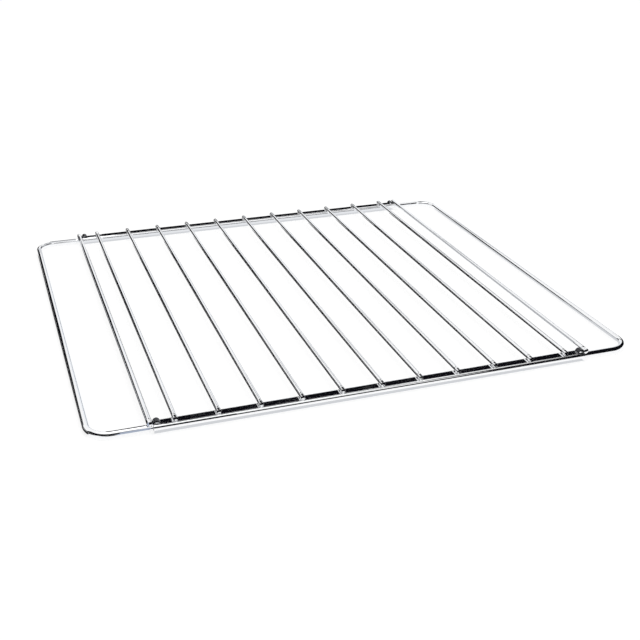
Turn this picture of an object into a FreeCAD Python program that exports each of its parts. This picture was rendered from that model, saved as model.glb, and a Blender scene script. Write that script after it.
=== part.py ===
import FreeCAD, Part
import Sketcher
import math
import os

# Extending oven shelf: two folded rails carry the welded cross wires, and a U frame slides into each end.
# Millimetres. +X runs along the rails, +Y to the back of the oven, +Z up, and z = 0 is under the rails.

doc = FreeCAD.newDocument("OvenShelf")
sheet = doc.addObject("Spreadsheet::Sheet", "Sizes")

# Driving dimensions

SIZES = [
    ("shelf_depth", 320.0, "front to back over both rails"),
    ("rail_length", 275.0, "length of each rail"),
    ("rail_sheet", 0.6, "thickness of the folded rail sheet"),
    ("rail_bend", 0.55, "inner radius of the rail's folds"),
    ("rail_slot", 2.6, "width of the slot between the rail's lips"),
    ("stop_length", 4.2, "length of a stop loop along the rail"),
    ("stop_width", 4.0, "width of a stop loop across the rail"),
    ("wire_diameter", 2.8, "diameter of the cross wires"),
    ("wire_pitch", 25.0, "spacing of the cross wires"),
    ("rail_end_space", 8.0, "least distance from a cross wire to the end of a rail"),
    ("wire_front_setback", 2.0, "cut front ends of the wires, in from the front of the shelf"),
    ("wire_rear_setback", 0.2, "cut rear ends of the wires, in from the back of the shelf"),
    ("wire_chamfer", 0.25, "chamfer on the cut ends of the wires"),
    ("weld_sink", 0.25, "depth that a wire sinks at a weld"),
    ("electrode_length", 4.0, "length of the flat that the welding electrode leaves on top of a wire"),
    ("electrode_sink", 0.25, "depth of that flat"),
    ("frame_rod", 3.8, "diameter of the rod of the sliding frames"),
    ("frame_bend", 13.0, "radius of the rod's bends, on its axis"),
    ("rod_play", 0.25, "gap above and below the rod in the rail"),
    ("rod_side_play", 1.2, "gap on each side of the rod in the rail"),
    ("rod_chamfer", 0.4, "chamfer on the inner ends of the rod"),
    ("leg_gap", 4.0, "gap between the two frames' legs inside a rail"),
    ("end_wire_diameter", 3.2, "diameter of the wire on each sliding frame"),
    ("closed_gap", 0.3, "gap between that wire and the rails when pushed in"),
    ("end_bay", 33.7, "from that wire to the frame's end bar, between axes"),
]

for row, (alias, size, meaning) in enumerate(SIZES, start=1):
    sheet.set(f"A{row}", meaning)
    sheet.set(f"B{row}", str(size))
    sheet.setAlias(f"B{row}", alias)
doc.recompute()

# Sizes that follow from them

RAIL_WIDTH = "(Sizes.frame_rod + 2 * Sizes.rod_side_play + 2 * Sizes.rail_sheet)"
RAIL_HEIGHT = "(Sizes.frame_rod + 2 * Sizes.rod_play + 2 * Sizes.rail_sheet)"
RAIL_AXIS = f"((Sizes.shelf_depth - {RAIL_WIDTH}) / 2)"
ROD_HEIGHT = f"({RAIL_HEIGHT} / 2)"
WIRE_FRONT = "(Sizes.wire_front_setback - Sizes.shelf_depth / 2)"
WIRE_REAR = "(Sizes.shelf_depth / 2 - Sizes.wire_rear_setback)"
WIRE_HEIGHT = f"({RAIL_HEIGHT} + Sizes.wire_diameter / 2 - Sizes.weld_sink)"
END_WIRE_X = "(Sizes.rail_length / 2 + Sizes.closed_gap + Sizes.end_wire_diameter / 2)"
END_WIRE_HEIGHT = f"({ROD_HEIGHT} + Sizes.frame_rod / 2 + Sizes.end_wire_diameter / 2 - Sizes.weld_sink)"
END_BAR_X = f"({END_WIRE_X} + Sizes.end_bay)"
LEG_END_X = "(Sizes.leg_gap / 2)"
STOP_X = "((Sizes.rail_length - Sizes.stop_length) / 2)"
WIRE_STEPS = "floor((Sizes.rail_length - 2 * Sizes.rail_end_space) / Sizes.wire_pitch)"

# Names for the points of a sketch, and how near two places count as the same

LINE_START = 1
LINE_END = 2
CENTRE = 3
ORIGIN = (-1, 1)
UPRIGHT = FreeCAD.Vector(0, 0, 1)
SAME_PLACE = 0.001


def value(expression):
    """The number that an expression on the sheet has now."""
    return float(sheet.evalExpression(expression))


# Sketching


def new_body(label):
    body = doc.addObject("PartDesign::Body", label)
    body.Label = label
    return body


def place(body, **expressions):
    """Bind the body's place along x, y or z to expressions."""
    for axis, expression in expressions.items():
        body.setExpression(f"Placement.Base.{axis}", expression)


def origin_plane(body, role):
    return next(feature for feature in body.Origin.OriginFeatures if feature.Role == role)


def new_sketch(body, name, role, offset=None):
    """A sketch on one of the body's own planes, moved along the plane's normal by the offset."""
    sketch = body.newObject("Sketcher::SketchObject", f"{body.Name}_{name}")
    sketch.AttachmentSupport = (origin_plane(body, role), [""])
    sketch.MapMode = "FlatFace"
    if offset is not None:
        sketch.setExpression("AttachmentOffset.Base.z", offset)
    return sketch


def bind(sketch, constraint, expression):
    """Add a dimension to the sketch and bind it to an expression."""
    index = sketch.addConstraint(Sketcher.Constraint(*constraint, value(expression)))
    sketch.setExpression(f"Constraints[{index}]", expression)


def pin(sketch, geometry, point, u=None, v=None):
    """Fix a point of the sketch at coordinates given by expressions."""
    if u is not None:
        bind(sketch, ("DistanceX", *ORIGIN, geometry, point), u)
    if v is not None:
        bind(sketch, ("DistanceY", *ORIGIN, geometry, point), v)


def add_line(sketch, start, end):
    ends = [FreeCAD.Vector(value(u), value(v), 0) for u, v in (start, end)]
    return sketch.addGeometry(Part.LineSegment(*ends), False)


def add_arc(sketch, centre_u, centre_v, radius, start_angle, end_angle):
    centre = FreeCAD.Vector(value(centre_u), value(centre_v), 0)
    circle = Part.Circle(centre, UPRIGHT, value(radius))
    return sketch.addGeometry(Part.ArcOfCircle(circle, start_angle, end_angle), False)


def add_outline(sketch, corners):
    """A closed run of straight lines through corners given as pairs of expressions."""
    following = corners[1:] + corners[:1]
    lines = [add_line(sketch, start, end) for start, end in zip(corners, following)]
    for line, next_line in zip(lines, lines[1:] + lines[:1]):
        sketch.addConstraint(Sketcher.Constraint("Coincident", line, LINE_END, next_line, LINE_START))
    for line, (u, v) in zip(lines, corners):
        pin(sketch, line, LINE_START, u, v)


def rectangle(left, right, bottom, top):
    return [(left, bottom), (right, bottom), (right, top), (left, top)]


def add_dome(sketch, centre_u, centre_v, radius, depth):
    """A half disc, carried on down by a depth below its centre line as a straight slot."""
    arc = add_arc(sketch, centre_u, centre_v, radius, 0, math.pi)
    left, right = f"{centre_u} - {radius}", f"{centre_u} + {radius}"
    foot = f"{centre_v} - {depth}"
    down = add_line(sketch, (left, centre_v), (left, foot))
    base = add_line(sketch, (left, foot), (right, foot))
    up = add_line(sketch, (right, foot), (right, centre_v))
    for first, second in ((arc, down), (down, base), (base, up), (up, arc)):
        sketch.addConstraint(Sketcher.Constraint("Coincident", first, LINE_END, second, LINE_START))
    for line in (down, up):
        sketch.addConstraint(Sketcher.Constraint("Vertical", line))
    sketch.addConstraint(Sketcher.Constraint("Horizontal", base))
    pin(sketch, arc, CENTRE, centre_u, centre_v)
    pin(sketch, down, LINE_START, v=centre_v)
    pin(sketch, down, LINE_END, v=foot)
    pin(sketch, up, LINE_END, v=centre_v)
    bind(sketch, ("Radius", arc), radius)


# Features


def pad(body, sketch, length):
    feature = body.newObject("PartDesign::Pad", f"{sketch.Name}_pad")
    feature.Profile = sketch
    feature.SideType = "Symmetric"
    feature.setExpression("Length", length)
    doc.recompute()
    return feature


def pocket(body, sketch, length=None):
    """Cut a sketch through the body both ways, by a length or right through, and see that it cut."""
    before = body.Shape.Volume
    feature = body.newObject("PartDesign::Pocket", f"{sketch.Name}_pocket")
    feature.Profile = sketch
    feature.SideType = "Symmetric"
    if length is None:
        feature.Type = "ThroughAll"
    else:
        feature.setExpression("Length", length)
    doc.recompute()
    if not feature.Shape.Volume < before:
        raise RuntimeError(f"{feature.Name} cut nothing")
    return feature


def round_edges(body, base, name, corners, radius):
    """Fillet the lengthwise edges that run through the given corners of the base's section."""
    middles = [FreeCAD.Vector(0, value(u), value(v)) for u, v in corners]
    names = [
        f"Edge{number}"
        for number, edge in enumerate(base.Shape.Edges, start=1)
        if any(edge.CenterOfMass.distanceToPoint(middle) < SAME_PLACE for middle in middles)
    ]
    feature = body.newObject("PartDesign::Fillet", f"{body.Name}_{name}")
    feature.Base = (base, names)
    feature.setExpression("Radius", radius)
    doc.recompute()
    return feature


# Rails


def make_rail(label, side):
    """A folded channel, open below, with a pressed-up stop loop over each end."""
    body = new_body(label)
    half, wall = f"{RAIL_WIDTH} / 2", "Sizes.rail_sheet"
    inner, lip = f"({half} - {wall})", "Sizes.rail_slot / 2"
    ceiling = f"({RAIL_HEIGHT} - {wall})"
    outer_corners = [(half, "0"), (half, RAIL_HEIGHT), (f"-{half}", RAIL_HEIGHT), (f"-{half}", "0")]
    inner_corners = [(f"-{inner}", wall), (f"-{inner}", ceiling), (inner, ceiling), (inner, wall)]
    section = new_sketch(body, "section", "YZ_Plane")
    left_lip = [(f"-{lip}", "0"), (f"-{lip}", wall)]
    right_lip = [(lip, wall), (lip, "0")]
    add_outline(section, outer_corners + left_lip + inner_corners + right_lip)
    channel = pad(body, section, "Sizes.rail_length")
    folded = round_edges(body, channel, "outer_folds", outer_corners, f"Sizes.rail_bend + {wall}")
    round_edges(body, folded, "inner_folds", inner_corners, "Sizes.rail_bend")

    loop = new_sketch(body, "stop_loop", "XZ_Plane")
    add_dome(loop, STOP_X, RAIL_HEIGHT, "Sizes.stop_length / 2", f"{wall} / 2")
    loop_pad = pad(body, loop, "Sizes.stop_width")
    hollow = new_sketch(body, "stop_hollow", "XZ_Plane")
    add_dome(hollow, STOP_X, RAIL_HEIGHT, f"(Sizes.stop_length / 2 - {wall})", wall)
    loop_hollow = pocket(body, hollow, "Sizes.stop_width")
    both_ends = body.newObject("PartDesign::Mirrored", f"{label}_both_ends")
    both_ends.Originals = [loop_pad, loop_hollow]
    both_ends.MirrorPlane = (origin_plane(body, "YZ_Plane"), [""])
    body.Tip = both_ends
    place(body, y=f"{side} * {RAIL_AXIS}")
    return body


# Straight wires


def make_wire(label, diameter, flats, flat_depth):
    """A cut length of wire along Y, flattened at each weld: underneath, and on top by the electrode."""
    body = new_body(label)
    radius, chamfer = f"{diameter} / 2", "Sizes.wire_chamfer"
    shoulder = f"({radius} - {chamfer})"
    profile = new_sketch(body, "profile", "XY_Plane")
    add_outline(
        profile,
        [
            ("0", WIRE_FRONT),
            (shoulder, WIRE_FRONT),
            (radius, f"{WIRE_FRONT} + {chamfer}"),
            (radius, f"{WIRE_REAR} - {chamfer}"),
            (shoulder, WIRE_REAR),
            ("0", WIRE_REAR),
        ],
    )
    turned = body.newObject("PartDesign::Revolution", f"{label}_turned")
    turned.Profile = profile
    turned.ReferenceAxis = (profile, ["V_Axis"])
    turned.Angle = 360
    doc.recompute()
    welds = new_sketch(body, "weld_flats", "YZ_Plane")
    for start, end in flats:
        add_outline(welds, rectangle(start, end, f"-{diameter}", f"{flat_depth} - {radius}"))
    for start, end in spans("Sizes.electrode_length"):
        add_outline(welds, rectangle(start, end, f"{radius} - Sizes.electrode_sink", diameter))
    pocket(body, welds)
    return body


def spans(width):
    """Start and end along Y of a band of the given width over each rail axis."""
    axes = (f"-{RAIL_AXIS}", RAIL_AXIS)
    return [(f"{axis} - {width} / 2", f"{axis} + {width} / 2") for axis in axes]


def make_cross_wire(index):
    label = f"cross_wire_{index + 1:02d}"
    body = make_wire(label, "Sizes.wire_diameter", spans(RAIL_WIDTH), "Sizes.weld_sink")
    place(body, x=f"({index} - {WIRE_STEPS} / 2) * Sizes.wire_pitch", z=WIRE_HEIGHT)
    return body


# Sliding ends


def make_extension_wire(label, side):
    body = make_wire(label, "Sizes.end_wire_diameter", spans("Sizes.frame_rod"), "Sizes.weld_sink / 2")
    place(body, x=f"{side} * {END_WIRE_X}", z=END_WIRE_HEIGHT)
    return body


def make_extension_frame(label, turn):
    """One rod bent into a U, flattened on top of each leg where the end wire is welded on.

    It is drawn for the right end, and a half turn makes it the left one."""
    body = new_body(label)
    bend, bend_x = "Sizes.frame_bend", f"({END_BAR_X} - Sizes.frame_bend)"
    bend_y = f"({RAIL_AXIS} - {bend})"
    path = new_sketch(body, "path", "XY_Plane")
    rear_leg = add_line(path, (LEG_END_X, RAIL_AXIS), (bend_x, RAIL_AXIS))
    rear_bend = add_arc(path, bend_x, bend_y, bend, 0, math.pi / 2)
    end_bar = add_line(path, (END_BAR_X, bend_y), (END_BAR_X, f"-{bend_y}"))
    front_bend = add_arc(path, bend_x, f"-{bend_y}", bend, -math.pi / 2, 0)
    front_leg = add_line(path, (bend_x, f"-{RAIL_AXIS}"), (LEG_END_X, f"-{RAIL_AXIS}"))
    for before, arc, after in ((rear_leg, rear_bend, end_bar), (end_bar, front_bend, front_leg)):
        path.addConstraint(Sketcher.Constraint("Tangent", before, LINE_END, arc, LINE_END))
        path.addConstraint(Sketcher.Constraint("Tangent", arc, LINE_START, after, LINE_START))
        bind(path, ("Radius", arc), bend)
    path.addConstraint(Sketcher.Constraint("Horizontal", rear_leg))
    path.addConstraint(Sketcher.Constraint("Vertical", end_bar))
    path.addConstraint(Sketcher.Constraint("Horizontal", front_leg))
    pin(path, rear_leg, LINE_START, LEG_END_X, RAIL_AXIS)
    pin(path, end_bar, LINE_START, u=END_BAR_X)
    pin(path, front_leg, LINE_END, LEG_END_X, f"-{RAIL_AXIS}")

    section = new_sketch(body, "rod", "YZ_Plane", offset=LEG_END_X)
    middle = FreeCAD.Vector(value(RAIL_AXIS), 0, 0)
    rod = section.addGeometry(Part.Circle(middle, UPRIGHT, value("Sizes.frame_rod / 2")), False)
    pin(section, rod, CENTRE, RAIL_AXIS, "0")
    bind(section, ("Diameter", rod), "Sizes.frame_rod")
    bent = body.newObject("PartDesign::AdditivePipe", f"{label}_bent")
    bent.Profile = section
    bent.Spine = (path, [])
    doc.recompute()

    cut_ends = [
        f"Edge{number}"
        for number, edge in enumerate(bent.Shape.Edges, start=1)
        if edge.isClosed() and abs(edge.CenterOfMass.x - value(LEG_END_X)) < SAME_PLACE
    ]
    eased = body.newObject("PartDesign::Chamfer", f"{label}_eased")
    eased.Base = (bent, cut_ends)
    eased.setExpression("Size", "Sizes.rod_chamfer")
    doc.recompute()

    welds = new_sketch(body, "weld_flats", "XZ_Plane")
    near = f"{END_WIRE_X} - Sizes.end_wire_diameter / 2"
    far = f"{END_WIRE_X} + Sizes.end_wire_diameter / 2"
    weld_plane = "Sizes.frame_rod / 2 - Sizes.weld_sink / 2"
    add_outline(welds, rectangle(near, far, weld_plane, "Sizes.frame_rod"))
    pocket(body, welds)
    body.Placement = FreeCAD.Placement(FreeCAD.Vector(), FreeCAD.Rotation(UPRIGHT, turn))
    place(body, z=ROD_HEIGHT)
    return body


# The whole shelf

bodies = [make_rail("front_rail", -1), make_rail("rear_rail", 1)]
bodies += [make_cross_wire(index) for index in range(int(value(WIRE_STEPS)) + 1)]
for name, side, turn in (("left", -1, 180), ("right", 1, 0)):
    bodies.append(make_extension_frame(f"{name}_extension_frame", turn))
    bodies.append(make_extension_wire(f"{name}_extension_wire", side))
doc.recompute()

for item in doc.Objects:
    if "Invalid" in item.State or "Error" in item.State:
        raise RuntimeError(f"{item.Name} failed: {item.State}")
for body in bodies:
    if body.Shape.isNull() or not body.Shape.isValid() or len(body.Shape.Solids) != 1:
        raise RuntimeError(f"{body.Label} is not one valid solid")

os.makedirs("parts", exist_ok=True)
for body in bodies:
    body.Shape.exportStep(os.path.join("parts", f"{body.Label}.step"))
    print(f"{body.Label}: {body.Shape.Volume:.1f} mm3")
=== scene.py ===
import math

import bpy
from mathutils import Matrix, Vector


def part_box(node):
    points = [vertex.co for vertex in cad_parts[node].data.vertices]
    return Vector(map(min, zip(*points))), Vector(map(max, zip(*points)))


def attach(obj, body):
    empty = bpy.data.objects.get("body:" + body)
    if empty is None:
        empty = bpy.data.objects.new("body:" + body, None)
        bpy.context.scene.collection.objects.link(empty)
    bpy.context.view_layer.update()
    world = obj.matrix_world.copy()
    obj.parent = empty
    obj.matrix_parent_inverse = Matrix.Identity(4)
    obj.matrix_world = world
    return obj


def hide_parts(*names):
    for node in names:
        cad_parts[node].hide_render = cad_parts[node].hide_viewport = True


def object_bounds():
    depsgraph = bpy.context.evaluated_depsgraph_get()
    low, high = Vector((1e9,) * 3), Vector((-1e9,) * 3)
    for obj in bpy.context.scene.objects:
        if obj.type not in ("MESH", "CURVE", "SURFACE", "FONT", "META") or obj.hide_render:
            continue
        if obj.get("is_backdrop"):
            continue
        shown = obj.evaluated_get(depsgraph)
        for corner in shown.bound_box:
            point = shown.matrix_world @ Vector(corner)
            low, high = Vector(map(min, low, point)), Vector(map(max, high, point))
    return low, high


# Extending oven shelf: bright plated rails, wires and rod frames, dressed over the solids of the frame.
# Metres. +X runs along the rails, +Y to the back of the oven, +Z up, and z = 0 is under the rails.

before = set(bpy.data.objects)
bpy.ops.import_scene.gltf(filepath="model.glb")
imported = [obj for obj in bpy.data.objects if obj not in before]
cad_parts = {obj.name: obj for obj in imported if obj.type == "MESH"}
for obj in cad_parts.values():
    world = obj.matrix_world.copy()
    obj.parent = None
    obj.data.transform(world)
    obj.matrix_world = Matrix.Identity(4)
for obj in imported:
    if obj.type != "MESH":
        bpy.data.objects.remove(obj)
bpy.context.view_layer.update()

MM = 0.001

# Sizes that the boxes of the solids don't show

RAIL_SHEET = 0.6 * MM
RAIL_FOLD = 0.55 * MM
RAIL_SLOT = 2.6 * MM
STOP_LENGTH = 4.2 * MM
STOP_WIDTH = 4.0 * MM
WELD_SINK = 0.25 * MM
ELECTRODE_LENGTH = 4.0 * MM
ELECTRODE_SINK = 0.25 * MM
FRAME_BEND = 13.0 * MM
WIRE_EASE = 0.25 * MM
ROD_EASE = 0.4 * MM

# Welds: a flat's fade and its spread, and where the beads lie, as a share of the wire's radius

FLAT_FADE = 0.5 * MM
FLAT_SPREAD = 0.06
BEAD_ASIDE = 0.62
BEAD_TURN = math.radians(9)

# How finely the meshes are divided

WIRE_RINGS = 181
WIRE_RIBS = 40
ROD_RIBS = 48
BEND_STEPS = 36
FOLD_STEPS = 10
LOOP_STEPS = 33
BEAD_SEGMENTS = 20
BEAD_RINGS = 12
SHARP_ANGLE = math.radians(40)

# Joins: points this near are one, points stand this far beside a fold, and how a loop meets the sheet

SAME_PLACE = 0.001 * MM
FOLD_MARGIN = 0.05 * MM
LOOP_LAP = 0.97
LOOP_FOOT = 0.2
LOOP_CLEAR = 0.1 * MM

# Sizes and places read from the solids

CROSS_WIRES = sorted(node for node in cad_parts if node.startswith("cross_wire"))
SIDES = {"left": -1, "right": 1}
RAIL_SIDES = {"front": -1, "rear": 1}

rail_low, rail_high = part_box("rear_rail")
RAIL_WIDTH = rail_high.y - rail_low.y
RAIL_AXIS = (rail_high.y + rail_low.y) / 2
RAIL_HALF = rail_high.x
RAIL_TOP = rail_high.z - STOP_LENGTH / 2
STOP_X = RAIL_HALF - STOP_LENGTH / 2

rod_low, rod_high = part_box("right_extension_frame")
ROD_RADIUS = (rod_high.z - rod_low.z) / 2
ROD_HEIGHT = (rod_high.z + rod_low.z) / 2
LEG_END_X = rod_low.x
END_BAR_X = rod_high.x - ROD_RADIUS


# Node trees


class Tree:
    """A geometry node tree with named size inputs, built up one node at a time."""

    def __init__(self, name, sizes):
        self.group = bpy.data.node_groups.new(name, "GeometryNodeTree")
        interface = self.group.interface
        interface.new_socket("Geometry", in_out="INPUT", socket_type="NodeSocketGeometry")
        for size in sizes:
            interface.new_socket(size, in_out="INPUT", socket_type="NodeSocketFloat")
        for finish in ("Finish", "Second Finish"):
            interface.new_socket(finish, in_out="INPUT", socket_type="NodeSocketMaterial")
        interface.new_socket("Geometry", in_out="OUTPUT", socket_type="NodeSocketGeometry")
        self.inputs = self.group.nodes.new("NodeGroupInput").outputs

    def __getitem__(self, name):
        return self.inputs[name]

    def add(self, kind, values, out=0, **settings):
        """Add a node, set or link its inputs by name or number, and return one of its outputs."""
        node = self.group.nodes.new(kind)
        for name, setting in settings.items():
            setattr(node, name, setting)
        for key, given in values.items():
            if isinstance(given, bpy.types.NodeSocket):
                self.group.links.new(given, node.inputs[key])
            else:
                node.inputs[key].default_value = given
        return node.outputs[out]

    def calc(self, operation, first, second=0.0):
        return self.add("ShaderNodeMath", {0: first, 1: second}, operation=operation)

    def ramp(self, value, start, end):
        """Smooth step from 0 at start to 1 at end."""
        values = {"Value": value, "From Min": start, "From Max": end}
        return self.add("ShaderNodeMapRange", values, interpolation_type="SMOOTHSTEP")

    def position(self):
        """The x, y and z of the point at hand."""
        place = self.add("GeometryNodeInputPosition", {})
        parts = self.add("ShaderNodeSeparateXYZ", {0: place})
        return [parts.node.outputs[axis] for axis in range(3)]

    def vector(self, x=0.0, y=0.0, z=0.0):
        return self.add("ShaderNodeCombineXYZ", {0: x, 1: y, 2: z})

    def move(self, geometry, x, y, z):
        """Put every point of the geometry at the given coordinates."""
        values = {"Geometry": geometry, "Position": self.vector(x, y, z)}
        return self.add("GeometryNodeSetPosition", values)

    def sweep_round(self, path, radius, ribs):
        """Sweep a circle along a path, with a radius that may change along it, and close the ends."""
        circle = self.add("GeometryNodeCurvePrimitiveCircle", {"Resolution": ribs, "Radius": 1.0})
        values = {"Curve": path, "Profile Curve": circle, "Scale": radius, "Fill Caps": True}
        return self.add("GeometryNodeCurveToMesh", values)

    def merged(self, mesh):
        """Join the points that fall together where a corner of a path or section has no rounding."""
        return self.add("GeometryNodeMergeByDistance", {"Geometry": mesh, "Distance": SAME_PLACE})

    def eased(self, radius, ease, from_end):
        """Radius of a rod near its cut end, rounded off over the ease."""
        short = self.calc("MAXIMUM", self.calc("SUBTRACT", ease, from_end), 0.0)
        ease_square = self.calc("MULTIPLY", ease, ease)
        short_square = self.calc("MULTIPLY", short, short)
        rounding = self.calc("SQRT", self.calc("SUBTRACT", ease_square, short_square))
        return self.calc("ADD", self.calc("SUBTRACT", radius, ease), rounding)

    def finish(self, geometry, second_area=None):
        """Realize, give the finish, or a second one over some faces, and close the tree."""
        real = self.add("GeometryNodeRealizeInstances", {"Geometry": geometry})
        done = self.add("GeometryNodeSetMaterial", {"Geometry": real, "Material": self["Finish"]})
        if second_area:
            values = {"Geometry": done, "Selection": second_area, "Material": self["Second Finish"]}
            done = self.add("GeometryNodeSetMaterial", values)
        self.group.links.new(done, self.group.nodes.new("NodeGroupOutput").inputs[0])
        return self


def make_piece(name, tree, sizes, finish, base=None, second_finish=None):
    """Run a tree on an object with the given sizes, and return its result as a plain mesh object."""
    settings = {**sizes, "Finish": finish, "Second Finish": second_finish or finish}
    worker = bpy.data.objects.new(name + "_worker", base or bpy.data.meshes.new(name + "_base"))
    bpy.context.scene.collection.objects.link(worker)
    modifier = worker.modifiers.new(tree.group.name, "NODES")
    modifier.node_group = tree.group
    for item in tree.group.interface.items_tree:
        if item.name in settings:
            modifier[item.identifier] = settings[item.name]
    graph = bpy.context.evaluated_depsgraph_get()
    mesh = bpy.data.meshes.new_from_object(worker.evaluated_get(graph), depsgraph=graph)
    bpy.data.objects.remove(worker)
    mesh.name = name
    for polygon in mesh.polygons:
        polygon.use_smooth = True
    mesh.set_sharp_from_angle(angle=SHARP_ANGLE)
    piece = bpy.data.objects.new(name, mesh)
    bpy.context.scene.collection.objects.link(piece)
    return piece


def wire_tree():
    """A straight wire along Y with rounded cut ends, flattened at its welds and by the electrode."""
    names = ("Middle X", "Front Y", "Rear Y", "Height", "Radius", "Ease", "Weld Y")
    names += ("Weld Reach", "Weld Sink", "Electrode Reach", "Electrode Sink", "Fade", "Squeeze")
    tree = Tree("drawn_wire", names)
    start = tree.vector(tree["Middle X"], tree["Front Y"], tree["Height"])
    end = tree.vector(tree["Middle X"], tree["Rear Y"], tree["Height"])
    line = tree.add("GeometryNodeCurvePrimitiveLine", {"Start": start, "End": end})
    path = tree.add("GeometryNodeResampleCurve", {"Curve": line, "Count": WIRE_RINGS})
    middle = tree.calc("MULTIPLY", tree.calc("ADD", tree["Front Y"], tree["Rear Y"]), 0.5)
    half = tree.calc("MULTIPLY", tree.calc("SUBTRACT", tree["Rear Y"], tree["Front Y"]), 0.5)

    # Rings crowd towards the ends, where the shape changes
    x, y, z = tree.position()
    share = tree.calc("DIVIDE", tree.calc("SUBTRACT", y, middle), half)
    to_end = tree.calc("SUBTRACT", 1.0, tree.calc("ABSOLUTE", share))
    crowded = tree.calc("SUBTRACT", 1.0, tree.calc("MULTIPLY", to_end, to_end))
    moved = tree.calc("MULTIPLY", tree.calc("MULTIPLY", tree.calc("SIGN", share), crowded), half)
    path = tree.move(path, x, tree.calc("ADD", middle, moved), z)
    from_end = tree.calc("SUBTRACT", half, tree.calc("ABSOLUTE", tree.calc("SUBTRACT", y, middle)))
    wire = tree.sweep_round(path, tree.eased(tree["Radius"], tree["Ease"], from_end), WIRE_RIBS)

    # The flats of the weld and the electrode, and the metal squeezed out sideways
    x, y, z = tree.position()
    from_weld = tree.calc("ABSOLUTE", tree.calc("SUBTRACT", tree.calc("ABSOLUTE", y), tree["Weld Y"]))
    electrode_end = tree.calc("ADD", tree["Electrode Reach"], tree["Fade"])
    in_electrode = tree.ramp(from_weld, electrode_end, tree["Electrode Reach"])
    weld_end = tree.calc("ADD", tree["Weld Reach"], tree["Fade"])
    in_weld = tree.ramp(from_weld, weld_end, tree["Weld Reach"])
    dent = tree.calc("MULTIPLY", tree["Electrode Sink"], in_electrode)
    sink = tree.calc("MULTIPLY", tree["Weld Sink"], in_weld)
    above = tree.calc("SUBTRACT", z, tree["Height"])
    above = tree.calc("MINIMUM", above, tree.calc("SUBTRACT", tree["Radius"], dent))
    above = tree.calc("MAXIMUM", above, tree.calc("SUBTRACT", sink, tree["Radius"]))
    aside = tree.calc("SUBTRACT", x, tree["Middle X"])
    widening = tree.calc("ADD", 1.0, tree.calc("MULTIPLY", tree["Squeeze"], in_electrode))
    x = tree.calc("ADD", tree["Middle X"], tree.calc("MULTIPLY", aside, widening))
    return tree.finish(tree.move(wire, x, y, tree.calc("ADD", tree["Height"], above)))


def rod_tree():
    """A rod bent into a U, lying flat, its legs along X, with a flat on each leg under the end wire."""
    names = ("Leg End X", "Bar X", "Leg Y", "Height", "Radius", "Bend", "Ease")
    names += ("Weld X", "Weld Reach", "Weld Sink", "Fade")
    tree = Tree("bent_rod", names)
    points = tree.add("GeometryNodeMeshLine", {"Count": 6})
    index = tree.add("GeometryNodeInputIndex", {})

    # Six points: the two cut ends, where their rounding stops, and the two corners at the bar
    from_middle = tree.calc("ABSOLUTE", tree.calc("SUBTRACT", index, 2.5))
    past_end = tree.calc("LESS_THAN", from_middle, 2.0)
    at_bar = tree.calc("LESS_THAN", from_middle, 1.0)
    reach = tree.calc("SUBTRACT", tree["Bar X"], tree["Leg End X"])
    rounding = tree.calc("MULTIPLY", tree.calc("SIGN", reach), tree["Ease"])
    x = tree.calc("ADD", tree["Leg End X"], tree.calc("MULTIPLY", past_end, rounding))
    x = tree.calc("ADD", x, tree.calc("MULTIPLY", at_bar, tree.calc("SUBTRACT", reach, rounding)))
    side = tree.calc("SUBTRACT", tree.calc("MULTIPLY", tree.calc("LESS_THAN", index, 2.5), 2.0), 1.0)
    points = tree.move(points, x, tree.calc("MULTIPLY", side, tree["Leg Y"]), tree["Height"])
    path = tree.add("GeometryNodeMeshToCurve", {"Mesh": points})
    bend = tree.calc("MULTIPLY", at_bar, tree["Bend"])
    values = {"Curve": path, "Count": BEND_STEPS, "Radius": bend}
    path = tree.add("GeometryNodeFilletCurve", values, mode="POLY")
    x, y, z = tree.position()
    from_end = tree.calc("ABSOLUTE", tree.calc("SUBTRACT", x, tree["Leg End X"]))
    radius = tree.eased(tree["Radius"], tree["Ease"], from_end)
    rod = tree.merged(tree.sweep_round(path, radius, ROD_RIBS))

    # The flats under the end wire
    x, y, z = tree.position()
    from_weld = tree.calc("SUBTRACT", tree.calc("ABSOLUTE", x), tree["Weld X"])
    from_weld = tree.calc("ABSOLUTE", from_weld)
    weld_end = tree.calc("ADD", tree["Weld Reach"], tree["Fade"])
    in_weld = tree.ramp(from_weld, weld_end, tree["Weld Reach"])
    roof = tree.calc("SUBTRACT", tree["Radius"], tree.calc("MULTIPLY", tree["Weld Sink"], in_weld))
    z = tree.calc("MINIMUM", z, tree.calc("ADD", tree["Height"], roof))
    return tree.finish(tree.move(rod, x, y, z))


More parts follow.
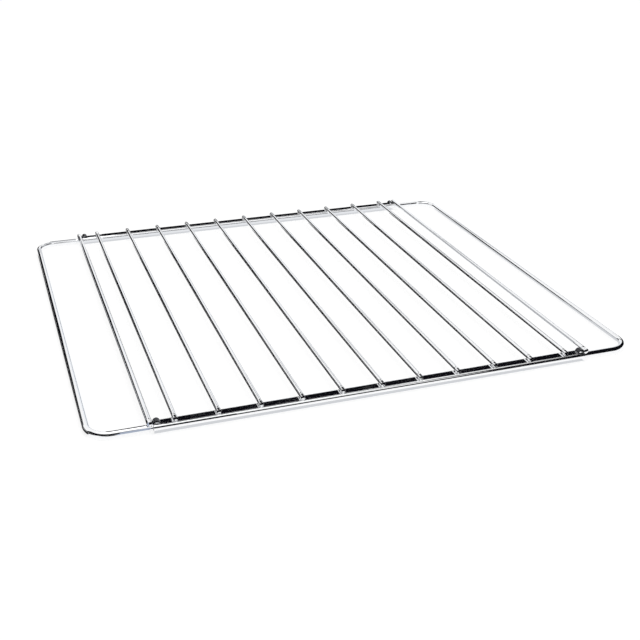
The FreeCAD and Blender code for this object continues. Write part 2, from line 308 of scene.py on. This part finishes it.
def rail_tree():
    """A folded rail along X from its section, with a half-round stop loop lanced up over each end."""
    names = ("Half Length", "Middle Y", "Top", "Sheet", "Stop X", "Stop Radius", "Stop Width")
    tree = Tree("folded_rail", names)
    fold = tree.add("GeometryNodeInputRadius", {})
    values = {"Curve": tree["Geometry"], "Count": FOLD_STEPS, "Radius": fold}
    section = tree.add("GeometryNodeFilletCurve", values, mode="POLY")
    start = tree.vector(tree.calc("MULTIPLY", tree["Half Length"], -1.0))
    end = tree.vector(tree["Half Length"])
    path = tree.add("GeometryNodeCurvePrimitiveLine", {"Start": start, "End": end})
    values = {"Curve": path, "Profile Curve": section, "Fill Caps": True}
    rail = tree.merged(tree.add("GeometryNodeCurveToMesh", values))

    # The feet of a loop run down into the sheet, and the hole under it is a touch smaller than its span
    inner = tree.calc("SUBTRACT", tree["Stop Radius"], tree["Sheet"])
    span = tree.calc("MULTIPLY", inner, 2.0 * LOOP_LAP)
    window = tree.vector(span, tree.calc("MULTIPLY", tree["Stop Width"], LOOP_LAP), tree["Stop Radius"])
    hole = tree.add("GeometryNodeMeshCube", {"Size": window})
    line = tree.calc("SUBTRACT", tree["Stop Radius"], tree.calc("MULTIPLY", tree["Sheet"], 0.5))
    turn = math.pi + 2 * LOOP_FOOT
    values = {"Resolution": LOOP_STEPS, "Radius": line, "Start Angle": -LOOP_FOOT, "Sweep Angle": turn}
    arch = tree.add("GeometryNodeCurveArc", values, mode="RADIUS")
    values = {"Width": tree["Sheet"], "Height": tree["Stop Width"]}
    strip = tree.add("GeometryNodeCurvePrimitiveQuadrilateral", values)
    values = {"Curve": arch, "Profile Curve": strip, "Fill Caps": True}
    loop = tree.add("GeometryNodeCurveToMesh", values)
    upright = {"Geometry": loop, "Rotation": (math.pi / 2, 0, 0)}
    loop = tree.add("GeometryNodeTransform", upright)

    # The union takes the rail and the loop at one socket, which holds several links
    for side in (-1.0, 1.0):
        place = tree.vector(tree.calc("MULTIPLY", tree["Stop X"], side), 0.0, tree["Top"])
        here = tree.add("GeometryNodeTransform", {"Geometry": hole, "Translation": place})
        values = {"Mesh 1": rail, "Mesh 2": here}
        rail = tree.add("GeometryNodeMeshBoolean", values, operation="DIFFERENCE", solver="MANIFOLD")
        there = tree.add("GeometryNodeTransform", {"Geometry": loop, "Translation": place})
        values = {"Mesh 2": rail}
        rail = tree.add("GeometryNodeMeshBoolean", values, operation="UNION", solver="MANIFOLD")
        tree.group.links.new(there, rail.node.inputs["Mesh 2"])
    aside = tree.vector(0.0, tree["Middle Y"])
    rail = tree.add("GeometryNodeTransform", {"Geometry": rail, "Translation": aside})

    # The loops have a material of their own, near-black: painted shade over the stop loops
    x, y, z = tree.position()
    in_loop = tree.calc("GREATER_THAN", z, tree.calc("ADD", tree["Top"], LOOP_CLEAR))
    return tree.finish(rail, in_loop)


def bead_tree():
    """Small mounds of weld metal squeezed out beside each weld, one on every point of the base mesh."""
    tree = Tree("weld_beads", ("Width", "Length", "Height", "Turn"))
    ball = {"Segments": BEAD_SEGMENTS, "Rings": BEAD_RINGS, "Radius": 0.5}
    drop = tree.add("GeometryNodeMeshUVSphere", ball)
    size = tree.vector(tree["Width"], tree["Length"], tree["Height"])
    shares = {"Min": (0.75, 0.75, 0.8), "Max": (1.2, 1.25, 1.15), "Seed": 4}
    spread = tree.add("FunctionNodeRandomValue", shares, data_type="FLOAT_VECTOR")
    scale = tree.add("ShaderNodeVectorMath", {0: size, 1: spread}, operation="MULTIPLY")

    # Sockets 2 and 3 of the random value are its least and greatest float, and output 1 is the float
    swing = tree.calc("MULTIPLY", tree["Turn"], -1.0)
    turn = tree.add("FunctionNodeRandomValue", {2: swing, 3: tree["Turn"], "Seed": 9}, out=1)
    turn = tree.vector(0.0, 0.0, turn)
    values = {"Points": tree["Geometry"], "Instance": drop, "Rotation": turn, "Scale": scale}
    return tree.finish(tree.add("GeometryNodeInstanceOnPoints", values))


# Finishes


def link(nodes, source, target):
    nodes.id_data.links.new(source, target)


def plated(name, colour, dull_colour, roughness, grain, grain_depth):
    """Bright plating over drawn or rolled steel: a fine grain, slight clouds and a varying polish."""
    finish = bpy.data.materials.new(name)
    finish.use_nodes = True
    nodes = finish.node_tree.nodes
    shader = nodes["Principled BSDF"]
    shader.inputs["Metallic"].default_value = 1.0
    place = nodes.new("ShaderNodeTexCoord").outputs["Object"]

    cloud = nodes.new("ShaderNodeTexNoise")
    cloud.inputs["Scale"].default_value = 90.0
    cloud.inputs["Detail"].default_value = 3.0
    link(nodes, place, cloud.inputs["Vector"])
    tint = nodes.new("ShaderNodeMix")
    tint.data_type = "RGBA"
    link(nodes, cloud.outputs["Fac"], tint.inputs["Factor"])
    tint.inputs["A"].default_value = (*colour, 1.0)
    tint.inputs["B"].default_value = (*dull_colour, 1.0)
    link(nodes, tint.outputs["Result"], shader.inputs["Base Color"])

    polish = nodes.new("ShaderNodeMapRange")
    link(nodes, cloud.outputs["Fac"], polish.inputs["Value"])
    polish.inputs["From Min"].default_value = 0.3
    polish.inputs["From Max"].default_value = 0.7
    polish.inputs["To Min"].default_value = roughness[0]
    polish.inputs["To Max"].default_value = roughness[1]
    link(nodes, polish.outputs["Result"], shader.inputs["Roughness"])

    stretch = nodes.new("ShaderNodeMapping")
    stretch.inputs["Scale"].default_value = grain
    link(nodes, place, stretch.inputs["Vector"])
    lines = nodes.new("ShaderNodeTexNoise")
    lines.inputs["Scale"].default_value = 1.0
    lines.inputs["Detail"].default_value = 2.0
    link(nodes, stretch.outputs["Vector"], lines.inputs["Vector"])
    bump = nodes.new("ShaderNodeBump")
    bump.inputs["Strength"].default_value = 1.0
    bump.inputs["Distance"].default_value = grain_depth
    link(nodes, lines.outputs["Fac"], bump.inputs["Height"])
    link(nodes, bump.outputs["Normal"], shader.inputs["Normal"])
    return finish


BRIGHT = (0.95, 0.955, 0.965)
DULL = (0.90, 0.91, 0.925)
WELD_GREY = (0.74, 0.75, 0.77)
# The two loop colours below are painted shade: near-black plating colours that darken the stop loops
LOOP_SHADE_GREY = (0.07, 0.072, 0.08)
LOOP_SHADE_DARK = (0.03, 0.031, 0.035)

wire_finish = plated("plated_wire", BRIGHT, DULL, (0.03, 0.07), (900.0, 12.0, 900.0), 0.002 * MM)
rod_finish = plated("plated_rod", BRIGHT, DULL, (0.03, 0.07), (60.0, 60.0, 900.0), 0.002 * MM)
rail_finish = plated("plated_sheet", BRIGHT, DULL, (0.02, 0.05), (6.0, 700.0, 700.0), 0.002 * MM)
# Painted shade: the stop loops are coloured near-black, darker than the plating around them
loop_painted_shade = plated("lanced_loop_painted_shade", LOOP_SHADE_GREY, LOOP_SHADE_DARK, (0.12, 0.22), (300.0, 40.0, 300.0), 0.004 * MM)
weld_finish = plated("plated_weld", DULL, WELD_GREY, (0.08, 0.2), (900.0, 900.0, 900.0), 0.03 * MM)

# Rails


def rail_section():
    """The folded section as a curve in its own plane, whose corners carry the radius of their fold."""
    half = RAIL_WIDTH / 2
    inner = half - RAIL_SHEET
    lip = RAIL_SLOT / 2
    ceiling = RAIL_TOP - RAIL_SHEET
    outer_fold = RAIL_FOLD + RAIL_SHEET
    right = [
        (lip, RAIL_SHEET, 0.0),
        (lip, 0.0, 0.0),
        (half, 0.0, outer_fold),
        (half, RAIL_TOP, outer_fold),
    ]
    right_inside = [(inner, ceiling, RAIL_FOLD), (inner, RAIL_SHEET, RAIL_FOLD)]
    left = [(-across, up, fold) for across, up, fold in reversed(right)]
    left_inside = [(-across, up, fold) for across, up, fold in reversed(right_inside)]
    corners = right + left + left_inside + right_inside
    points = []
    for step, (across, up, fold) in enumerate(corners):
        points.append((across, up, fold))
        if fold:
            points[-1:] = beside_fold(corners, step)
    curve = bpy.data.curves.new("rail_section", "CURVE")
    curve.dimensions = "3D"
    spline = curve.splines.new("POLY")
    spline.points.add(len(points) - 1)
    for point, (across, up, fold) in zip(spline.points, reversed(points)):
        point.co = (across, -up, 0.0, 1.0)
        point.radius = fold
    spline.use_cyclic_u = True
    return curve


def beside_fold(corners, step):
    """A fold's corner with a point close beside the fold on either flat, which keeps the flats level."""
    across, up, fold = corners[step]
    here = Vector((across, up))
    beside = []
    for neighbour in (corners[step - 1], corners[(step + 1) % len(corners)]):
        along = (Vector(neighbour[:2]) - here).normalized()
        place = here + along * (fold + FOLD_MARGIN)
        beside.append((place.x, place.y, 0.0))
    return [beside[0], corners[step], beside[1]]


folded_rail = rail_tree()
for name, side in RAIL_SIDES.items():
    sizes = {
        "Half Length": RAIL_HALF,
        "Middle Y": side * RAIL_AXIS,
        "Top": RAIL_TOP,
        "Sheet": RAIL_SHEET,
        "Stop X": STOP_X,
        "Stop Radius": STOP_LENGTH / 2,
        "Stop Width": STOP_WIDTH,
    }
    rail = make_piece(f"{name}_rail_sheet", folded_rail, sizes, rail_finish, rail_section(), loop_painted_shade)
    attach(rail, "grid")
    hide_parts(f"{name}_rail")

# Wires

drawn_wire = wire_tree()


def make_wire(node, body, weld_reach, weld_sink):
    """The plated wire that stands for a wire solid, sized and placed by the solid's box."""
    low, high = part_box(node)
    radius = (high.x - low.x) / 2
    sizes = {
        "Middle X": (low.x + high.x) / 2,
        "Front Y": low.y,
        "Rear Y": high.y,
        "Height": high.z - radius,
        "Radius": radius,
        "Ease": WIRE_EASE,
        "Weld Y": RAIL_AXIS,
        "Weld Reach": weld_reach,
        "Weld Sink": weld_sink,
        "Electrode Reach": ELECTRODE_LENGTH / 2,
        "Electrode Sink": ELECTRODE_SINK,
        "Fade": FLAT_FADE,
        "Squeeze": FLAT_SPREAD,
    }
    wire = make_piece(f"{node}_plated", drawn_wire, sizes, wire_finish)
    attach(wire, body)
    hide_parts(node)


for node in CROSS_WIRES:
    make_wire(node, "grid", RAIL_WIDTH / 2, WELD_SINK)
for name in SIDES:
    make_wire(f"{name}_extension_wire", f"{name}_extension", ROD_RADIUS, WELD_SINK / 2)

# Sliding frames

bent_rod = rod_tree()
end_wire_low, end_wire_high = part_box("right_extension_wire")
END_WIRE_X = (end_wire_low.x + end_wire_high.x) / 2
END_WIRE_RADIUS = (end_wire_high.x - end_wire_low.x) / 2
for name, side in SIDES.items():
    sizes = {
        "Leg End X": side * LEG_END_X,
        "Bar X": side * END_BAR_X,
        "Leg Y": RAIL_AXIS,
        "Height": ROD_HEIGHT,
        "Radius": ROD_RADIUS,
        "Bend": FRAME_BEND,
        "Ease": ROD_EASE,
        "Weld X": END_WIRE_X,
        "Weld Reach": END_WIRE_RADIUS,
        "Weld Sink": WELD_SINK / 2,
        "Fade": FLAT_FADE,
    }
    rod = make_piece(f"{name}_frame_rod", bent_rod, sizes, rod_finish)
    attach(rod, f"{name}_extension")
    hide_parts(f"{name}_extension_frame")

# Weld metal

weld_beads = bead_tree()


def make_beads(name, body, points, width, length, height):
    """A bead of about the given size on each of the points, all in one piece."""
    base = bpy.data.meshes.new(name + "_points")
    base.from_pydata(points, [], [])
    sizes = {"Width": width, "Length": length, "Height": height, "Turn": BEAD_TURN}
    beads = make_piece(name, weld_beads, sizes, weld_finish, base)
    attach(beads, body)


def weld_places(node, height):
    """The places on either side of a wire's foot where it crosses the two rails or legs."""
    low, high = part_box(node)
    middle = (low.x + high.x) / 2
    aside = (high.x - low.x) / 2 * BEAD_ASIDE
    places = []
    for side in RAIL_SIDES.values():
        places.append((middle - aside, side * RAIL_AXIS, height))
        places.append((middle + aside, side * RAIL_AXIS, height))
    return places


grid_points = [place for node in CROSS_WIRES for place in weld_places(node, RAIL_TOP)]
make_beads("grid_weld_beads", "grid", grid_points, 1.5 * MM, 4.0 * MM, 1.1 * MM)
for name in SIDES:
    leg_points = weld_places(f"{name}_extension_wire", ROD_HEIGHT + ROD_RADIUS)
    make_beads(f"{name}_weld_beads", f"{name}_extension", leg_points, 0.8 * MM, 2.2 * MM, 0.9 * MM)


# Camera, measured from the photograph's straight lines

CAMERA_PLACE = Vector((-209.3, -647.6, 296.6)) * MM
CAMERA_YAW = math.radians(-19.041)
CAMERA_PITCH = math.radians(90.0 - 25.018)
CAMERA_ROLL = math.radians(-0.12)
LENS = 57.15

camera_data = bpy.data.cameras.new("camera")
camera_data.lens = LENS
camera_data.sensor_width = 36.0
camera_data.clip_start = 0.01
camera = bpy.data.objects.new("camera", camera_data)
camera.location = CAMERA_PLACE
camera.rotation_euler = (CAMERA_PITCH, CAMERA_ROLL, CAMERA_YAW)
bpy.context.scene.collection.objects.link(camera)
bpy.context.scene.camera = camera

# Studio: a pale floor, a white room, one large soft lamp and cards that only the plating sees


def mm(*sizes):
    """Millimetres as metres, in a tuple."""
    return tuple(size * MM for size in sizes)


FLOOR_GREY = (0.38, 0.38, 0.38)
BLACK = (0.004, 0.004, 0.006)
DARK = (0.10, 0.10, 0.11)
DARK_GREY = (0.20, 0.205, 0.215)
MID_GREY = (0.45, 0.46, 0.48)
MID_BLUE = (0.40, 0.45, 0.55)
PALE_GREY = (0.68, 0.69, 0.71)
FAINT_GREY = (0.84, 0.85, 0.87)
PALE_BLUE = (0.80, 0.84, 0.90)
FAINT_BLUE = (0.88, 0.905, 0.945)
NEAR_WHITE = (0.95, 0.955, 0.965)
BLUE_CAST = 1.08

# Places that several cards share

RAIL_ENDS = (-RAIL_HALF, RAIL_HALF)
FRONT_FACE = -RAIL_AXIS - RAIL_WIDTH / 2
REAR_FACE = RAIL_AXIS - RAIL_WIDTH / 2
BETWEEN_RAILS = mm(-150.0, 143.0)
BEHIND_RAILS = mm(161.0, 200.0)
REAR_LEG_SPAN = mm(-163.0, -142.0)
SIDE_ALONG = mm(-138.0, 150.0)
SCREEN_ALONG = mm(-150.0, 140.0)
SCREEN_HEIGHTS = mm(0.3, 6.0)
SCREEN_AWAY = 3.5 * MM
SCREEN_GAP = 0.5 * MM
BAR_STRIP_HEIGHTS = mm(0.5, 8.0)
FRONT_STRIP_Y = -185.0 * MM
STRIP_LIFT = 0.3 * MM
FLOOR_LIFT = 0.2 * MM
WIRE_FLANK = 20.0 * MM


def seen_directly(nodes):
    """1 for rays from the camera, a mirror or a clear body, and 0 for the light that fills the room."""
    path = nodes.new("ShaderNodeLightPath")
    total = nodes.new("ShaderNodeMath")
    total.operation = "ADD"
    link(nodes, path.outputs["Is Camera Ray"], total.inputs[0])
    link(nodes, path.outputs["Is Glossy Ray"], total.inputs[1])
    seen = nodes.new("ShaderNodeMath")
    seen.operation = "ADD"
    seen.use_clamp = True
    link(nodes, total.outputs[0], seen.inputs[0])
    link(nodes, path.outputs["Is Transmission Ray"], seen.inputs[1])
    return seen.outputs[0]


def white_room(fill):
    """A world that looks white and lights the object with the given fill."""
    world = bpy.data.worlds.new("white_room")
    world.use_nodes = True
    nodes = world.node_tree.nodes
    strength = nodes.new("ShaderNodeMapRange")
    link(nodes, seen_directly(nodes), strength.inputs["Value"])
    strength.inputs["To Min"].default_value = fill
    strength.inputs["To Max"].default_value = 1.0
    background = nodes["Background"]
    background.inputs["Color"].default_value = (1.0, 1.0, 1.0, 1.0)
    link(nodes, strength.outputs["Result"], background.inputs["Strength"])
    bpy.context.scene.world = world


def pale_floor(radius, glow):
    """A round floor whose own faint glow lifts it to white and leaves the shadow under the object."""
    bpy.ops.mesh.primitive_circle_add(vertices=96, radius=radius, fill_type="NGON", location=(0, 0, 0))
    floor = bpy.context.object
    floor.name = "floor"
    finish = bpy.data.materials.new("floor_white")
    finish.use_nodes = True
    nodes = finish.node_tree.nodes
    shader = nodes["Principled BSDF"]
    shader.inputs["Base Color"].default_value = (*FLOOR_GREY, 1.0)
    shader.inputs["Roughness"].default_value = 0.9
    shader.inputs["Specular IOR Level"].default_value = 0.0
    shader.inputs["Emission Color"].default_value = (1.0, 1.0, 1.0, 1.0)
    lift = nodes.new("ShaderNodeMath")
    lift.operation = "MULTIPLY"
    link(nodes, seen_directly(nodes), lift.inputs[0])
    lift.inputs[1].default_value = glow
    link(nodes, lift.outputs[0], shader.inputs["Emission Strength"])
    floor.data.materials.append(finish)
    floor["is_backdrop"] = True


def make_card(name, tone, points, faces):
    """A card that only reflections see, of one even tone."""
    mesh = bpy.data.meshes.new(name)
    mesh.from_pydata(points, [], faces)
    card = bpy.data.objects.new(name, mesh)
    bpy.context.scene.collection.objects.link(card)
    finish = bpy.data.materials.new(name)
    finish.use_nodes = True
    nodes = finish.node_tree.nodes
    nodes.remove(nodes["Principled BSDF"])
    paint = nodes.new("ShaderNodeEmission")
    paint.inputs["Color"].default_value = (*tone, 1.0)
    link(nodes, paint.outputs[0], nodes["Material Output"].inputs["Surface"])
    mesh.materials.append(finish)
    card.visible_camera = False
    card.visible_diffuse = False
    card.visible_shadow = False
    card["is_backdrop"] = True


def wall_card(name, tone, turn, rise, end_rise=None, distance=2.4):
    """A card curved round the object, from one turn to another, counted from +Y towards +X.

    It stands between two rises above the floor, and its upper edge may slope to another rise at its end.
    """
    steps = 24
    slope = (end_rise or rise[1]) - rise[1]
    points = []
    for step in range(steps + 1):
        azimuth = math.radians(turn[0] + (turn[1] - turn[0]) * step / steps)
        for degrees in (rise[0], rise[1] + slope * step / steps):
            elevation = math.radians(degrees)
            flat = distance * math.cos(elevation)
            up = distance * math.sin(elevation)
            points.append((flat * math.sin(azimuth), flat * math.cos(azimuth), up))
    faces = [(2 * step, 2 * step + 1, 2 * step + 3, 2 * step + 2) for step in range(steps)]
    make_card(name, tone, points, faces)


def rail_strip(name, rail_y, across, away, below, above):
    """A black strip that hangs behind a rail, where the rail's flat top mirrors it to the camera."""
    reach = away / (rail_y - CAMERA_PLACE.y)
    middle = RAIL_TOP + reach * (CAMERA_PLACE.z - RAIL_TOP)
    ends = [x + reach * (x - CAMERA_PLACE.x) for x in across]
    points = [(x, rail_y + away, z) for z in (middle - below, middle + above) for x in ends]
    make_card(name, BLACK, points, [(0, 1, 3, 2)])


def side_strip(name, tone, x, heights, along=SIDE_ALONG):
    """A strip that stands along Y beside a wire or bar."""
    points = [(x, y, z) for z in heights for y in along]
    make_card(name, tone, points, [(0, 1, 3, 2)])


def wire_screens(name, x):
    """Low screens at the right of a wire, white towards it and black towards the next wire."""
    white_x = x + SCREEN_AWAY
    black_x = white_x + SCREEN_GAP
    side_strip(f"{name}_white_screen", NEAR_WHITE, white_x, SCREEN_HEIGHTS, SCREEN_ALONG)
    side_strip(f"{name}_black_screen", BLACK, black_x, SCREEN_HEIGHTS, SCREEN_ALONG)


def cross_strip(name, tone, across, height, y=FRONT_STRIP_Y):
    """A strip that stands just over the floor along X, in front of a rail or leg or behind it."""
    points = [(x, y, z) for z in (STRIP_LIFT, height) for x in across]
    make_card(name, tone, points, [(0, 1, 3, 2)])


def floor_card(name, tone, across, along, height=FLOOR_LIFT):
    """A level rectangle between two x and two y, on the floor or overhead."""
    points = [(x, y, height) for y in along for x in across]
    make_card(name, tone, points, [(0, 1, 3, 2)])


def flank_cards(name, level, x, reach, past=0.0):
    """Floor cards at the left of a wire or bar, between and behind the rails, for its left flank."""
    tone = (level, level, level * BLUE_CAST)
    floor_card(f"{name}_card", tone, (x - reach, x + past), BETWEEN_RAILS)
    floor_card(f"{name}_back_card", tone, (x - reach, x), BEHIND_RAILS)


def soft_lamp(size, height, brightness):
    """One square lamp overhead whose surface has the given brightness."""
    data = bpy.data.lights.new("soft_lamp", "AREA")
    data.size = size
    data.energy = brightness * math.pi * size * size
    lamp = bpy.data.objects.new("soft_lamp", data)
    lamp.location = (0.0, 0.0, height)
    bpy.context.scene.collection.objects.link(lamp)


white_room(fill=0.7)
pale_floor(radius=3.5, glow=0.73)
soft_lamp(size=1.3, height=1.5, brightness=0.9)

# Cards at the rails: behind each, where its flat top mirrors them, and thinner at the rear rail's left end

rear_black = (-RAIL_HALF + 16.0 * MM, RAIL_HALF)
rear_thin = (-RAIL_HALF + 4.0 * MM, -RAIL_HALF + 16.0 * MM)
rail_strip("front_rail_strip", -RAIL_AXIS, RAIL_ENDS, away=2150.0 * MM, below=80.0 * MM, above=80.0 * MM)
rail_strip("rear_rail_strip", RAIL_AXIS, rear_black, away=12.0 * MM, below=1.8 * MM, above=2.2 * MM)
rail_strip("rear_end_strip", RAIL_AXIS, rear_thin, away=12.0 * MM, below=0.7 * MM, above=0.7 * MM)

# Cards round the object: overhead, at the back for the flanks of the wires, and at the front

wall_card("high_card", BLACK, turn=(4.0, 34.0), rise=(45.0, 70.0))
floor_card("overhead_card", BLACK, mm(30.0, 520.0), mm(-200.0, 600.0), height=1200.0 * MM)
wall_card("left_card", BLACK, turn=(-5.0, -20.0), rise=(-2.0, 25.6))
wall_card("far_left_card", BLACK, turn=(-20.0, -36.0), rise=(-2.0, 24.5), end_rise=18.0)
wall_card("side_card", DARK, turn=(-36.0, -75.0), rise=(-2.0, 14.0))
wall_card("right_back_card", FAINT_BLUE, turn=(12.0, 46.0), rise=(-2.0, 24.0), distance=2.6)
wall_card("front_left_card", BLACK, turn=(178.0, 285.0), rise=(-2.0, 44.0))
wall_card("front_right_card", BLACK, turn=(140.0, 154.0), rise=(-2.0, 52.0))
wall_card("right_card", BLACK, turn=(46.0, 150.0), rise=(-4.0, 56.0))

# Strips beside the right end wire and bar, then along the left legs and the rear rail

side_strip("right_wire_strip", MID_GREY, 132.0 * MM, mm(3.0, 14.0))
side_strip("right_wire_screen", NEAR_WHITE, END_WIRE_X + 4.0 * MM, mm(0.3, 7.0))
side_strip("right_bar_strip", MID_GREY, 157.5 * MM, BAR_STRIP_HEIGHTS)
side_strip("right_bar_dark_strip", DARK_GREY, 158.0 * MM, BAR_STRIP_HEIGHTS, mm(-100.0, 120.0))
side_strip("right_bar_black_strip", BLACK, 158.5 * MM, BAR_STRIP_HEIGHTS, mm(-65.0, 85.0))
side_strip("right_bar_screen", NEAR_WHITE, END_BAR_X + 4.5 * MM, mm(0.3, 6.0))
cross_strip("front_leg_strip", MID_BLUE, mm(-154.0, -136.0), 24.0 * MM)
cross_strip("front_left_strip", BLACK, mm(-136.0, -85.0), 14.0 * MM)
cross_strip("front_leg_back_strip", BLACK, mm(-163.0, -141.5), 10.0 * MM, y=-152.5 * MM)
cross_strip("rear_leg_strip", PALE_GREY, mm(-174.0, -139.0), 8.0 * MM, y=144.0 * MM)
cross_strip("rear_leg_back_strip", DARK, REAR_LEG_SPAN, 12.0 * MM, y=160.5 * MM)
floor_card("rear_leg_roof", PALE_GREY, REAR_LEG_SPAN, mm(151.0, 160.5), height=12.0 * MM)
cross_strip("rear_face_strip", NEAR_WHITE, RAIL_ENDS, 6.2 * MM, y=141.0 * MM)
cross_strip("rear_back_screen", NEAR_WHITE, RAIL_ENDS, 4.8 * MM, y=161.2 * MM)

# Cards on the floor: at the left of each wire and bar, in front of the shelf, and at the feet of the rails

flank_cards("left_bar", 0.02, -END_BAR_X, 80.0 * MM)
flank_cards("left_end_wire", 0.03, -END_WIRE_X, WIRE_FLANK)
for node in CROSS_WIRES:
    low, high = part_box(node)
    middle = (low.x + high.x) / 2
    flank_cards(node, 0.015, middle, WIRE_FLANK, SCREEN_AWAY)
    wire_screens(node, middle)
floor_card("left_bay_card", PALE_BLUE, (-END_BAR_X, -END_BAR_X + 12.0 * MM), BETWEEN_RAILS)
floor_card("left_leg_card", DARK, mm(-172.0, -141.0), mm(-150.0, -130.0))
floor_card("corner_card", BLACK, mm(-300.0, -157.0), mm(-300.0, -162.0))
floor_card("corner_side_card", BLACK, mm(-300.0, -177.0), mm(-162.0, -150.0))
floor_card("leg_floor_card", MID_BLUE, mm(-157.0, -139.0), mm(-300.0, -162.0))
floor_card("front_floor_card", BLACK, mm(-139.0, 450.0), (-400.0 * MM, FRONT_FACE - 6.2 * MM))
floor_card("right_bay_card", PALE_GREY, mm(158.0, 172.5), BETWEEN_RAILS)
# Painted shadow: the grey cards at the rails' feet and in front of the rear rail stand in for the floor's
# shade beside the rails, which the rails' lower folds and faces mirror
floor_card("front_foot_card", PALE_GREY, RAIL_ENDS, (FRONT_FACE - 3.8 * MM, FRONT_FACE))
floor_card("rear_foot_card", PALE_GREY, RAIL_ENDS, (REAR_FACE - 4.5 * MM, REAR_FACE))
floor_card("rear_face_card", FAINT_GREY, RAIL_ENDS, (REAR_FACE - 11.5 * MM, REAR_FACE - 4.5 * MM))

bpy.context.scene.view_settings.view_transform = "Standard"

# The object's bounds

low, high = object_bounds()
